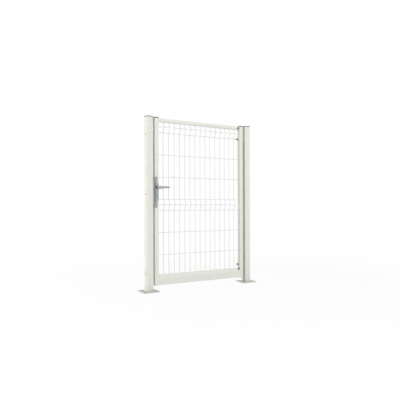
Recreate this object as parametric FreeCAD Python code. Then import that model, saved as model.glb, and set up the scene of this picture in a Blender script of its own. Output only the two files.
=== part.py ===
import FreeCAD, Part
import math
import os

os.makedirs("parts", exist_ok=True)

# Single-leaf garden gate of welded mesh between two steel posts.
# Millimetres. X runs along the gate from the latch post to the hinge post, Z is up,
# and -Y is the street side. The origin is the centre of the hinge post's footprint.

SAME = 1e-6                 # points closer than this are taken as one

# Posts and their feet
OPENING = 1000.0            # clear width between the posts
POST_SIZE = 60.0            # square tube
POST_WALL = 2.0
POST_CORNER = 4.0           # outer corner radius of the tube
POST_RISE = 5.0             # tube's upper end above the leaf's
BASE_SIZE = 150.0           # square plate under each post
BASE_THICK = 10.0
BASE_CORNER = 6.0           # cut off each corner
BASE_HOLE_PITCH = 110.0
BASE_HOLE_R = 6.0

# Tube caps
POST_CAP_THICK = 6.0
POST_CAP_OVERHANG = 1.5
CAP_CHAMFER = 1.5
CAP_BEVEL_SHARE = 0.5       # of the tube's corner radius, cut off a cap's corners
CAP_PLUG_DEPTH = 14.0
CAP_PLUG_WALL = 3.0
CAP_PLUG_GAP = 0.3          # between a plug and the tube that it closes
LEAF_CAP_THICK = 6.0
FOOT_CAP_THICK = 3.0

# Leaf frame
LATCH_GAP = 20.0            # between the leaf and the latch post
HINGE_GAP = 20.0            # between the leaf and the hinge post
LEAF_RECESS = 8.0           # leaf's front behind the posts' front
LEAF_BOTTOM = 56.0
LEAF_TOP = 1548.0
STILE_WIDTH = 40.0
LEAF_DEPTH = 40.0
LEAF_WALL = 2.0
LEAF_CORNER = 3.0
TOP_RAIL_HEIGHT = 30.0
KICK_HEIGHT = 60.0          # upright part of the bottom rail
SHOULDER_HEIGHT = 33.0      # sloped part above it
SHOULDER_TOP_DEPTH = 18.0

# Welded wire panel
WIRE_PITCH = 55.0
WIRE_FLATS = 4.8            # across the flats of each six-sided wire
WIRE_BITE = 0.8             # how far the edges of two crossing wires sink into each other
PANEL_SETBACK = 5.0         # upright wires behind the middle of the leaf
FOLD_HEIGHT = 100.0
FOLD_DEPTH = 22.0
CELL_HEIGHT = 200.0
UPPER_FOLD_DROP = 125.0     # from the leaf's top to where the upper fold ends
CELLS_BETWEEN_FOLDS = 3

# Lift-off hinges, one near each end of the hinge stile
UPPER_HINGE_DROP = 125.0    # from the leaf's top, level with the foot of the upper fold
LOWER_HINGE_RISE = 130.0    # from the leaf's bottom
HINGE_AXIS_BACK = 8.0       # pin's axis behind the posts' back face
HINGE_HEIGHT = 60.0
HINGE_PLATE = 5.0
HINGE_PLATE_DEPTH = 38.0    # of the flat part that lies on the tube
KNUCKLE_R = 8.5
KNUCKLE_GAP = 0.4           # between the two knuckles
PIN_R = 5.0
PIN_PLAY = 0.05
PIN_TIP = 3.0               # above the upper knuckle
PLATE_CLEARANCE = 2.0       # round the other plate's knuckle
STUD_R = 5.0
STUD_AHEAD = 2.5            # of the leaf's middle, clear of the level wires
STUD_HOLE_PLAY = 0.3
STUD_REACH = 31.0           # past the stile's inner face
WASHER_R = 9.0
WASHER_THICK = 2.0
NUT_FLATS = 17.0
NUT_HEIGHT = 8.5

# Lock, with its levels measured from the levers' spindle
SPINDLE_Z = 929.0
SPINDLE_SIZE = 9.0
SPINDLE_HOLE_R = 7.0
LOCK_PLATE_WIDTH = 26.0
LOCK_PLATE_THICK = 3.0
LOCK_PLATE_BEVEL = 8.0      # cut off each corner
LOCK_PLATE_BELOW = 184.0
LOCK_PLATE_ABOVE = 97.0
LOCK_CASE_WIDTH = 30.0
LOCK_CASE_THICK = 14.0
LOCK_CASE_BELOW = 126.0
LOCK_CASE_ABOVE = 39.0
LOCK_CASE_BEVEL = 2.5
CYLINDER_BELOW = 72.0
CYLINDER_BARREL_R = 8.5
CYLINDER_FIN_WIDTH = 10.0
CYLINDER_DROP = 24.0        # from the barrel's axis to the end of the fin
CYLINDER_PROUD = 3.0
CYLINDER_PLAY = 0.3
FOREND_THICK = 2.0
FOREND_WIDTH = 24.0
FOREND_BELOW = 139.0
FOREND_ABOVE = 61.0
FOREND_CORNER = 8.0
TONGUE_REACH = 10.0         # latch tongue drawn in, out of the keep's way
TONGUE_DEPTH = 12.0
TONGUE_HEIGHT = 28.0
TONGUE_BELOW = 29.0
TONGUE_TIP_FLAT = 1.0       # left of the nose's side by its bevel

# Lever handles
LEVER_RUNNING_GAP = 0.3
LEVER_NECK_R = 10.0
LEVER_STANDOFF = 34.0       # from the lock case to the far side of the grip
LEVER_LENGTH = 122.0
LEVER_ROOT_HEIGHT = 22.0
LEVER_TIP_HEIGHT = 15.0
LEVER_THICK = 11.0
LEVER_BEVEL = 2.5

# Keep on the latch post
KEEP_BELOW = 154.0          # below the spindle
KEEP_ABOVE = 76.0
KEEP_PLATE = 3.0
KEEP_RIB_REACH = 13.0       # from the post into the gap
KEEP_RIB_THICK = 4.0
KEEP_DEPTH = 46.0
KEEP_SLOT_PLAY = 4.0        # round the tongue

# Places worked out from the sizes above
LATCH_POST_X = -(OPENING + POST_SIZE)
POST_FRONT = -POST_SIZE / 2
LEAF_RIGHT = -POST_SIZE / 2 - HINGE_GAP
LEAF_LEFT = -POST_SIZE / 2 - OPENING + LATCH_GAP
LEAF_FRONT = POST_FRONT + LEAF_RECESS
LEAF_BACK = LEAF_FRONT + LEAF_DEPTH
LEAF_MID = (LEAF_FRONT + LEAF_BACK) / 2
INNER_LEFT = LEAF_LEFT + STILE_WIDTH
INNER_RIGHT = LEAF_RIGHT - STILE_WIDTH
BOTTOM_RAIL_TOP = LEAF_BOTTOM + KICK_HEIGHT + SHOULDER_HEIGHT
TOP_RAIL_BOTTOM = LEAF_TOP - TOP_RAIL_HEIGHT
POST_TOP = LEAF_TOP + POST_RISE
PANEL_Y = LEAF_MID + PANEL_SETBACK
STUD_Y = LEAF_MID - STUD_AHEAD
HINGE_X = LEAF_RIGHT + HINGE_GAP / 2
HINGE_Y = POST_SIZE / 2 + HINGE_AXIS_BACK
UPPER_HINGE_Z = LEAF_TOP - UPPER_HINGE_DROP
LOWER_HINGE_Z = LEAF_BOTTOM + LOWER_HINGE_RISE
LOCK_X = LEAF_LEFT + LOCK_CASE_WIDTH / 2
CYLINDER_Z = SPINDLE_Z - CYLINDER_BELOW
TONGUE_Z = SPINDLE_Z - TONGUE_BELOW
UPPER_FOLD_FOOT = LEAF_TOP - UPPER_FOLD_DROP
LOWER_FOLD_TOP = UPPER_FOLD_FOOT - CELLS_BETWEEN_FOLDS * CELL_HEIGHT


def box(x, y, z):
    """A box between the pairs of limits x, y and z."""
    size = (x[1] - x[0], y[1] - y[0], z[1] - z[0])
    return Part.makeBox(*size, FreeCAD.Vector(x[0], y[0], z[0]))


def along(shape, axis):
    """The straight edges of a shape that run along an axis, 0 for X, 1 for Y or 2 for Z."""
    edges = []
    for edge in shape.Edges:
        if len(edge.Vertexes) == 2:
            run = edge.Vertexes[1].Point - edge.Vertexes[0].Point
            if abs(abs(run[axis]) - run.Length) < SAME:
                edges.append(edge)
    return edges


def rounded_box(x, y, z, radius, axis):
    """A box whose four edges along an axis are rounded."""
    block = box(x, y, z)
    return block.makeFillet(radius, along(block, axis))


def bevelled_box(x, y, z, bevel, axis):
    """A box whose four edges along an axis are cut off."""
    block = box(x, y, z)
    return block.makeChamfer(bevel, along(block, axis))


def rod(radius, start, end):
    """A round bar from one point to another."""
    run = FreeCAD.Vector(*end) - FreeCAD.Vector(*start)
    return Part.makeCylinder(radius, run.Length, FreeCAD.Vector(*start), run)


def square_tube(x, y, z, wall, corner):
    """An upright rectangular tube with rounded outer corners, open at both ends."""
    outside = rounded_box(x, y, z, corner, 2)
    return outside.cut(box((x[0] + wall, x[1] - wall), (y[0] + wall, y[1] - wall), z))


def save(shape, node):
    """Write one node as a STEP file."""
    shape.exportStep("parts/%s.step" % node)


def post(centre_x):
    """A post's tube, standing on its base plate."""
    half = POST_SIZE / 2
    return square_tube((centre_x - half, centre_x + half), (-half, half), (BASE_THICK, POST_TOP),
                       POST_WALL, POST_CORNER)


def base_plate(centre_x):
    """The square plate under a post, with a bolt hole near each corner."""
    half = BASE_SIZE / 2
    plate = bevelled_box((centre_x - half, centre_x + half), (-half, half), (0, BASE_THICK), BASE_CORNER, 2)
    for dx in (-BASE_HOLE_PITCH / 2, BASE_HOLE_PITCH / 2):
        for y in (-BASE_HOLE_PITCH / 2, BASE_HOLE_PITCH / 2):
            plate = plate.cut(rod(BASE_HOLE_R, (centre_x + dx, y, 0), (centre_x + dx, y, BASE_THICK)))
    return plate


def tube_cap(x, y, face_z, up, thick, overhang, wall, corner):
    """A cap on a tube's end: a bevelled plate, and a hollow square plug inside the tube.

    up is 1 on an upper end, where the plate's rim is chamfered, and -1 on a lower one.
    """
    outer_z = face_z + up * thick
    plate = bevelled_box((x[0] - overhang, x[1] + overhang), (y[0] - overhang, y[1] + overhang),
                         (min(face_z, outer_z), max(face_z, outer_z)), corner * CAP_BEVEL_SHARE, 2)
    if up > 0:
        rim = [e for e in plate.Edges if all(abs(v.Z - outer_z) < SAME for v in e.Vertexes)]
        plate = plate.makeChamfer(CAP_CHAMFER, rim)
    plug_end = face_z - up * CAP_PLUG_DEPTH
    plug_z = (min(face_z, plug_end), max(face_z, plug_end))
    inset = wall + CAP_PLUG_GAP
    hollow = inset + CAP_PLUG_WALL
    plug = box((x[0] + inset, x[1] - inset), (y[0] + inset, y[1] - inset), plug_z)
    plug = plug.cut(box((x[0] + hollow, x[1] - hollow), (y[0] + hollow, y[1] - hollow), plug_z))
    return plate.fuse(plug).removeSplitter()


def post_cap(centre_x):
    """The flat cap on a post."""
    half = POST_SIZE / 2
    return tube_cap((centre_x - half, centre_x + half), (-half, half), POST_TOP, 1, POST_CAP_THICK,
                    POST_CAP_OVERHANG, POST_WALL, POST_CORNER)


def stile_cap(x, top):
    """The cap that closes a stile's upper or lower end."""
    if top:
        return tube_cap(x, (LEAF_FRONT, LEAF_BACK), LEAF_TOP, 1, LEAF_CAP_THICK, 0, LEAF_WALL, LEAF_CORNER)
    return tube_cap(x, (LEAF_FRONT, LEAF_BACK), LEAF_BOTTOM, -1, FOOT_CAP_THICK, 0, LEAF_WALL, LEAF_CORNER)


def stile(x):
    """An upright tube of the leaf."""
    return square_tube(x, (LEAF_FRONT, LEAF_BACK), (LEAF_BOTTOM, LEAF_TOP), LEAF_WALL, LEAF_CORNER)


def hinge_stile():
    """The stile that carries the hinges, drilled for their studs."""
    tube = stile((INNER_RIGHT, LEAF_RIGHT))
    for z in (UPPER_HINGE_Z, LOWER_HINGE_Z):
        tube = tube.cut(rod(STUD_R + STUD_HOLE_PLAY, (LEAF_RIGHT, STUD_Y, z), (INNER_RIGHT, STUD_Y, z)))
    return tube


def cylinder_shape(y, play):
    """The keyhole-shaped body of the lock's cylinder between two depths, grown by some play."""
    barrel = rod(CYLINDER_BARREL_R + play, (LOCK_X, y[0], CYLINDER_Z), (LOCK_X, y[1], CYLINDER_Z))
    half = CYLINDER_FIN_WIDTH / 2 + play
    fin = box((LOCK_X - half, LOCK_X + half), y, (CYLINDER_Z - CYLINDER_DROP - play, CYLINDER_Z))
    return barrel.fuse(fin).removeSplitter()


def spindle_hole(y):
    """The space round the lever's spindle between two depths."""
    return rod(SPINDLE_HOLE_R, (LOCK_X, y[0], SPINDLE_Z), (LOCK_X, y[1], SPINDLE_Z))


def latch_stile():
    """The stile that carries the lock, cut through for spindle, cylinder and tongue."""
    tube = stile((LEAF_LEFT, INNER_LEFT))
    through = (LEAF_FRONT, LEAF_BACK)
    tube = tube.cut(spindle_hole(through))
    tube = tube.cut(cylinder_shape(through, CYLINDER_PLAY))
    return tube.cut(tongue(CYLINDER_PLAY))


def top_rail():
    """The rectangular tube that joins the stiles at the top."""
    x = (INNER_LEFT, INNER_RIGHT)
    y = (LEAF_FRONT, LEAF_BACK)
    z = (TOP_RAIL_BOTTOM, LEAF_TOP)
    outside = rounded_box(x, y, z, LEAF_CORNER, 0)
    return outside.cut(box(x, (y[0] + LEAF_WALL, y[1] - LEAF_WALL), (z[0] + LEAF_WALL, z[1] - LEAF_WALL)))


def shouldered_profile(inset):
    """The bottom rail's outline, upright below and sloping in above, moved inwards by an inset."""
    slope = math.atan2((LEAF_DEPTH - SHOULDER_TOP_DEPTH) / 2, SHOULDER_HEIGHT)
    low = LEAF_BOTTOM + inset
    knee = LEAF_BOTTOM + KICK_HEIGHT - inset * math.tan(slope / 2)
    high = BOTTOM_RAIL_TOP - inset
    half = LEAF_DEPTH / 2 - inset
    neck = SHOULDER_TOP_DEPTH / 2 - inset * (1 / math.cos(slope) - math.tan(slope))
    outline = [(-half, low), (half, low), (half, knee), (neck, high), (-neck, high), (-half, knee)]
    points = [FreeCAD.Vector(INNER_LEFT, LEAF_MID + y, z) for y, z in outline]
    return Part.Face(Part.makePolygon(points + points[:1]))


def bottom_rail():
    """The deep rail at the foot of the leaf, with sloped shoulders that shed water."""
    run = FreeCAD.Vector(INNER_RIGHT - INNER_LEFT, 0, 0)
    return shouldered_profile(0).extrude(run).cut(shouldered_profile(LEAF_WALL).extrude(run))


def hexagon(centre, normal, corner_side, flats):
    """A six-sided outline about a centre, with a corner that points to corner_side."""
    corner_r = flats / math.sqrt(3)
    flat_side = normal.cross(corner_side)
    points = []
    for step in range(6):
        turn = math.radians(60 * step)
        points.append(centre + corner_side * (corner_r * math.cos(turn))
                      + flat_side * (corner_r * math.sin(turn)))
    return Part.makePolygon(points + points[:1])


def upright_route():
    """The levels and depths that an upright wire passes, from below, past both folds."""
    route = [(BOTTOM_RAIL_TOP - FOLD_HEIGHT / 2, PANEL_Y)]
    for top in (LOWER_FOLD_TOP, UPPER_FOLD_FOOT + FOLD_HEIGHT):
        route.append((top - FOLD_HEIGHT, PANEL_Y))
        route.append((top - FOLD_HEIGHT / 2, PANEL_Y - FOLD_DEPTH))
        route.append((top, PANEL_Y))
    route.append((LEAF_TOP + FOLD_HEIGHT / 2, PANEL_Y))
    return route


def upright_wire(x):
    """One folded upright wire, cut off flush with the two rails."""
    points = [FreeCAD.Vector(x, y, z) for z, y in upright_route()]
    section = hexagon(points[0], FreeCAD.Vector(0, 0, 1), FreeCAD.Vector(0, 1, 0), WIRE_FLATS)
    wire = Part.makePolygon(points).makePipeShell([section], True, False, 1)
    half = WIRE_PITCH / 2
    window = box((x - half, x + half), (PANEL_Y - 2 * FOLD_DEPTH, PANEL_Y + 2 * FOLD_DEPTH),
                 (BOTTOM_RAIL_TOP, TOP_RAIL_BOTTOM))
    return wire.common(window)


def level_wire(z, y):
    """One level wire between the stiles, welded behind the upright wires."""
    behind = y + 2 * WIRE_FLATS / math.sqrt(3) - WIRE_BITE
    centre = FreeCAD.Vector(INNER_LEFT, behind, z)
    section = hexagon(centre, FreeCAD.Vector(1, 0, 0), FreeCAD.Vector(0, 1, 0), WIRE_FLATS)
    return Part.Face(section).extrude(FreeCAD.Vector(INNER_RIGHT - INNER_LEFT, 0, 0))


def level_wire_places():
    """The level and depth of every level wire that shows between the rails."""
    places = []
    for fold_foot in (UPPER_FOLD_FOOT, LOWER_FOLD_TOP - FOLD_HEIGHT):
        places.append((fold_foot + FOLD_HEIGHT / 2, PANEL_Y - FOLD_DEPTH))
    for cell in range(CELLS_BETWEEN_FOLDS + 1):
        places.append((UPPER_FOLD_FOOT - cell * CELL_HEIGHT, PANEL_Y))
    z = LOWER_FOLD_TOP - FOLD_HEIGHT
    while z > BOTTOM_RAIL_TOP + WIRE_FLATS:
        places.append((z, PANEL_Y))
        z -= CELL_HEIGHT
    return places


def mesh_panel():
    """The welded panel: evenly spaced folded uprights, and level wires that cross behind them."""
    spaces = round((INNER_RIGHT - INNER_LEFT) / WIRE_PITCH)
    margin = (INNER_RIGHT - INNER_LEFT - (spaces - 2) * WIRE_PITCH) / 2
    uprights = [upright_wire(INNER_LEFT + margin + i * WIRE_PITCH) for i in range(spaces - 1)]
    levels = [level_wire(z, y) for z, y in level_wire_places()]
    return uprights[0].multiFuse(uprights[1:] + levels)


def hinge_levels(middle_z):
    """Where a hinge's two knuckles begin and end: the post's below, the leaf's above."""
    half = HINGE_HEIGHT / 2
    play = KNUCKLE_GAP / 2
    return (middle_z - half, middle_z - play), (middle_z + play, middle_z + half)


def hinge_plate(middle_z, side, own, other):
    """A flat hinge plate on a tube's face, with its knuckle and cut clear of the other's.

    side is -1 for the leaf's plate and 1 for the post's, own and other are the knuckles'
    limits in Z.
    """
    outer = HINGE_X + side * HINGE_GAP / 2
    inner = outer - side * HINGE_PLATE
    x = (min(outer, inner), max(outer, inner))
    clear_y = HINGE_Y - KNUCKLE_R - PLATE_CLEARANCE
    half = HINGE_HEIGHT / 2
    plate = box(x, (clear_y - HINGE_PLATE_DEPTH, HINGE_Y), (middle_z - half, middle_z + half))
    plate = plate.cut(box(x, (clear_y, HINGE_Y), (other[0] - KNUCKLE_GAP, other[1] + KNUCKLE_GAP)))
    return plate.fuse(rod(KNUCKLE_R, (HINGE_X, HINGE_Y, own[0]), (HINGE_X, HINGE_Y, own[1])))


def post_hinge_leaf(middle_z):
    """The post's half of a hinge, with the pin standing on its knuckle."""
    low, high = hinge_levels(middle_z)
    end = high[1] + PIN_TIP
    pin = rod(PIN_R, (HINGE_X, HINGE_Y, low[1]), (HINGE_X, HINGE_Y, end))
    pin = pin.makeChamfer(PIN_TIP / 2, [e for e in pin.Edges if all(v.Z > end - SAME for v in e.Vertexes)])
    return hinge_plate(middle_z, 1, low, high).fuse(pin).removeSplitter()


def stile_hinge_leaf(middle_z):
    """The leaf's half of a hinge, whose bored knuckle drops over the pin."""
    low, high = hinge_levels(middle_z)
    bore = rod(PIN_R + PIN_PLAY, (HINGE_X, HINGE_Y, high[0]), (HINGE_X, HINGE_Y, high[1]))
    return hinge_plate(middle_z, -1, high, low).cut(bore).removeSplitter()


def hinge_stud(z):
    """The stud that holds a hinge to its stile, with the washer and nut inside the leaf."""
    end = INNER_RIGHT - STUD_REACH
    stud = rod(STUD_R, (LEAF_RIGHT, STUD_Y, z), (end, STUD_Y, z))
    washer_end = INNER_RIGHT - WASHER_THICK
    washer = rod(WASHER_R, (INNER_RIGHT, STUD_Y, z), (washer_end, STUD_Y, z))
    seat = FreeCAD.Vector(washer_end, STUD_Y, z)
    nut = Part.Face(hexagon(seat, FreeCAD.Vector(1, 0, 0), FreeCAD.Vector(0, 0, 1), NUT_FLATS))
    nut = nut.extrude(FreeCAD.Vector(-NUT_HEIGHT, 0, 0))
    return stud.fuse(washer).fuse(nut).removeSplitter()


def lock_side(side):
    """How to place a lock piece on the front (-1) or the back (1): the leaf's face there."""
    return LEAF_FRONT if side < 0 else LEAF_BACK


def span(face, side, near, far):
    """The limits in Y between two distances outwards from a face."""
    return tuple(sorted((face + side * near, face + side * far)))


def lock_plate(side):
    """The long plate under a lock case."""
    y = span(lock_side(side), side, 0, LOCK_PLATE_THICK)
    x = (LEAF_LEFT, LEAF_LEFT + LOCK_PLATE_WIDTH)
    z = (SPINDLE_Z - LOCK_PLATE_BELOW, SPINDLE_Z + LOCK_PLATE_ABOVE)
    plate = bevelled_box(x, y, z, LOCK_PLATE_BEVEL, 1)
    return plate.cut(spindle_hole(y)).cut(cylinder_shape(y, CYLINDER_PLAY))


def lock_case(side):
    """The raised case over the works of the lock."""
    y = span(lock_side(side), side, LOCK_PLATE_THICK, LOCK_PLATE_THICK + LOCK_CASE_THICK)
    x = (LEAF_LEFT, LEAF_LEFT + LOCK_CASE_WIDTH)
    case = box(x, y, (SPINDLE_Z - LOCK_CASE_BELOW, SPINDLE_Z + LOCK_CASE_ABOVE))
    outer_y = y[0] if side < 0 else y[1]
    rim = [e for e in case.Edges if all(abs(v.Y - outer_y) < SAME for v in e.Vertexes)]
    case = case.makeChamfer(LOCK_CASE_BEVEL, rim + along(case, 1))
    return case.cut(spindle_hole(y)).cut(cylinder_shape(y, CYLINDER_PLAY))


def lock_cylinder():
    """The key cylinder, which passes right through the lock."""
    proud = LOCK_PLATE_THICK + LOCK_CASE_THICK + CYLINDER_PROUD
    return cylinder_shape((LEAF_FRONT - proud, LEAF_BACK + proud), 0)


def tongue(play):
    """The latch tongue, from inside the stile to its nose in the gap, grown by some play."""
    half = TONGUE_DEPTH / 2 + play
    rise = TONGUE_HEIGHT / 2 + play
    return box((LEAF_LEFT - TONGUE_REACH, LEAF_LEFT + LEAF_WALL), (LEAF_MID - half, LEAF_MID + half),
               (TONGUE_Z - rise, TONGUE_Z + rise))


def lock_forend():
    """The plate on the stile's edge, with the bevelled nose of the tongue."""
    half = FOREND_WIDTH / 2
    plate = rounded_box((LEAF_LEFT - FOREND_THICK, LEAF_LEFT), (LEAF_MID - half, LEAF_MID + half),
                        (SPINDLE_Z - FOREND_BELOW, SPINDLE_Z + FOREND_ABOVE), FOREND_CORNER, 0)
    nose = tongue(0)
    back_edge = [e for e in along(nose, 2) if e.Vertexes[0].X < LEAF_LEFT - FOREND_THICK
                 and e.Vertexes[0].Y > LEAF_MID]
    nose = nose.makeChamfer(TONGUE_REACH - FOREND_THICK - TONGUE_TIP_FLAT, back_edge)
    return plate.fuse(nose).removeSplitter()


def lever(side):
    """A lever handle: a neck and a tapered grip that points to the middle of the leaf."""
    face = lock_side(side) + side * (LOCK_PLATE_THICK + LOCK_CASE_THICK)
    grip_near = face + side * (LEVER_STANDOFF - LEVER_THICK)
    foot = face + side * LEVER_RUNNING_GAP
    neck = rod(LEVER_NECK_R, (LOCK_X, foot, SPINDLE_Z), (LOCK_X, grip_near, SPINDLE_Z))
    return neck.fuse(lever_grip(grip_near, side)).removeSplitter()


def lever_grip(near, side):
    """The grip's flat outline, a taper with a round end at each side, given its thickness."""
    root_r = LEVER_ROOT_HEIGHT / 2
    tip_r = LEVER_TIP_HEIGHT / 2
    tip_x = LOCK_X + LEVER_LENGTH - tip_r
    lean = math.asin((root_r - tip_r) / (tip_x - LOCK_X))

    def at(centre_x, radius, turn):
        return FreeCAD.Vector(centre_x + radius * math.cos(turn), near, SPINDLE_Z + radius * math.sin(turn))

    up = math.pi / 2 - lean
    root_top = at(LOCK_X, root_r, up)
    root_low = at(LOCK_X, root_r, -up)
    tip_top = at(tip_x, tip_r, up)
    tip_low = at(tip_x, tip_r, -up)
    outline = Part.Wire([Part.LineSegment(root_top, tip_top).toShape(),
                         Part.Arc(tip_top, at(tip_x, tip_r, 0), tip_low).toShape(),
                         Part.LineSegment(tip_low, root_low).toShape(),
                         Part.Arc(root_low, at(LOCK_X, root_r, math.pi), root_top).toShape()])
    grip = Part.Face(outline).extrude(FreeCAD.Vector(0, side * LEVER_THICK, 0))
    far = near + side * LEVER_THICK
    outer_edges = [e for e in grip.Edges if all(abs(v.Y - far) < SAME for v in e.Vertexes)]
    return grip.makeChamfer(LEVER_BEVEL, outer_edges)


def lever_spindle():
    """The square bar that joins the two levers."""
    reach = LOCK_PLATE_THICK + LOCK_CASE_THICK + LEVER_RUNNING_GAP
    half = SPINDLE_SIZE / 2
    return box((LOCK_X - half, LOCK_X + half), (LEAF_FRONT - reach, LEAF_BACK + reach),
               (SPINDLE_Z - half, SPINDLE_Z + half))


def latch_keep():
    """The keep on the latch post: a slotted plate in the gap, with a rib along its front."""
    post_face = LATCH_POST_X + POST_SIZE / 2
    plate_y = (POST_FRONT, POST_FRONT + KEEP_DEPTH)
    z = (SPINDLE_Z - KEEP_BELOW, SPINDLE_Z + KEEP_ABOVE)
    plate = box((post_face, post_face + KEEP_PLATE), plate_y, z)
    rib = box((post_face, post_face + KEEP_RIB_REACH), (POST_FRONT, POST_FRONT + KEEP_RIB_THICK), z)
    half = TONGUE_DEPTH / 2 + KEEP_SLOT_PLAY
    rise = TONGUE_HEIGHT / 2 + KEEP_SLOT_PLAY
    slot = box((post_face, post_face + KEEP_PLATE), (LEAF_MID - half, LEAF_MID + half),
               (TONGUE_Z - rise, TONGUE_Z + rise))
    return plate.fuse(rib).removeSplitter().cut(slot)


save(post(LATCH_POST_X), "latch_post")
save(post(0), "hinge_post")
save(base_plate(LATCH_POST_X), "latch_post_base")
save(base_plate(0), "hinge_post_base")
save(post_cap(LATCH_POST_X), "latch_post_cap")
save(post_cap(0), "hinge_post_cap")
save(latch_keep(), "latch_keep")

save(latch_stile(), "latch_stile")
save(hinge_stile(), "hinge_stile")
save(top_rail(), "top_rail")
save(bottom_rail(), "bottom_rail")
save(mesh_panel(), "mesh_panel")
save(stile_cap((LEAF_LEFT, INNER_LEFT), True), "latch_stile_cap")
save(stile_cap((INNER_RIGHT, LEAF_RIGHT), True), "hinge_stile_cap")
save(stile_cap((LEAF_LEFT, INNER_LEFT), False), "latch_stile_foot")
save(stile_cap((INNER_RIGHT, LEAF_RIGHT), False), "hinge_stile_foot")

for place, hinge_z in (("upper", UPPER_HINGE_Z), ("lower", LOWER_HINGE_Z)):
    save(post_hinge_leaf(hinge_z), place + "_hinge_post_leaf")
    save(stile_hinge_leaf(hinge_z), place + "_hinge_stile_leaf")
    save(hinge_stud(hinge_z), place + "_hinge_stud")

for place, face_side in (("front", -1), ("rear", 1)):
    save(lock_plate(face_side), place + "_lock_plate")
    save(lock_case(face_side), place + "_lock_case")
    save(lever(face_side), place + "_lever")
save(lock_cylinder(), "lock_cylinder")
save(lock_forend(), "lock_forend")
save(lever_spindle(), "lever_spindle")
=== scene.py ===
"""Looks of a welded mesh gate between two posts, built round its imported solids.

Lengths are in millimetres where nothing else is said, and mm() turns them to metres. +X runs from the
latch post to the hinge post, +Z is up and -Y is the street side.
"""

import logging
import math
from dataclasses import dataclass, field
from enum import Enum

import bmesh
import bpy
from mathutils import Matrix, Vector


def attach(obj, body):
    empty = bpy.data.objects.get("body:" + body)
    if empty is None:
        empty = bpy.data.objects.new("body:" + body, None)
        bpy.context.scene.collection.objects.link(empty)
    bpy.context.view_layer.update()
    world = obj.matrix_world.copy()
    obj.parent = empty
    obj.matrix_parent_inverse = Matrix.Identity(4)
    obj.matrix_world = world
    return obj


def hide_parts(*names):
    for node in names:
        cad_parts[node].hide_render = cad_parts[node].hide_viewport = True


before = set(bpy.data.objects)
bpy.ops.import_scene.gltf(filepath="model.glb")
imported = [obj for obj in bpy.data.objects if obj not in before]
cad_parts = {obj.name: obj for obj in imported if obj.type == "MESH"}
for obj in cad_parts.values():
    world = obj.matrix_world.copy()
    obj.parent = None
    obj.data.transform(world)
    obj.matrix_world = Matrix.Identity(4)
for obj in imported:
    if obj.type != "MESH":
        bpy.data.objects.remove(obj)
LOG = logging.getLogger("gate")
X, Y, Z = Vector((1, 0, 0)), Vector((0, 1, 0)), Vector((0, 0, 1))

Point = tuple[float, float, float]
Verts = list[bmesh.types.BMVert]
Edges = list[bmesh.types.BMEdge]

# How far a small part or a bead is sunk into the face that carries it.
SUNK = 1.0
# Edges that turn by more than this, in radians, are sharp.
SHARP = 1.2
# How close to a level a vertex has to be, to count as lying on it.
SLACK = 0.1
# Sides of round parts: turned ones, small screws and the wires. A nut has six.
ROUND, SMALL_ROUND, WIRE_ROUND, HEXAGON = 32, 24, 8, 6


class Body(Enum):
    """The moving bodies that a piece can ride on."""

    FIXED = "root"
    LEAF = "leaf"
    LEVER = "lever"


def mm(*sizes: float) -> Vector | float:
    """Turns millimetres to metres, one size or a vector of three."""
    return sizes[0] / 1000 if len(sizes) == 1 else Vector(sizes) / 1000


def linear(code: str) -> tuple[float, ...]:
    """Turns an sRGB hex colour to a linear one.

    Args:
        code: The colour, as "#rrggbb".

    Returns:
        Linear red, green, blue and an alpha of 1.
    """
    parts = [int(code[i:i + 2], 16) / 255 for i in (1, 3, 5)]
    return tuple(p / 12.92 if p <= 0.04045 else ((p + 0.055) / 1.055) ** 2.4 for p in parts) + (1.0,)


def add(tree: bpy.types.NodeTree, kind: str, settings: dict | None = None,
        links: dict | None = None) -> bpy.types.Node:
    """Adds a node with its settings and links.

    Args:
        tree: The node tree.
        kind: The node's type, without its "ShaderNode" prefix.
        settings: Property and input values by name.
        links: Output sockets by the name or number of the input that each feeds.

    Returns:
        The new node.
    """
    node = tree.nodes.new("ShaderNode" + kind)
    for name, value in (settings or {}).items():
        if name in node.inputs:
            node.inputs[name].default_value = value
        else:
            setattr(node, name, value)
    for name, socket in (links or {}).items():
        tree.links.new(socket, node.inputs[name])
    return node


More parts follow.
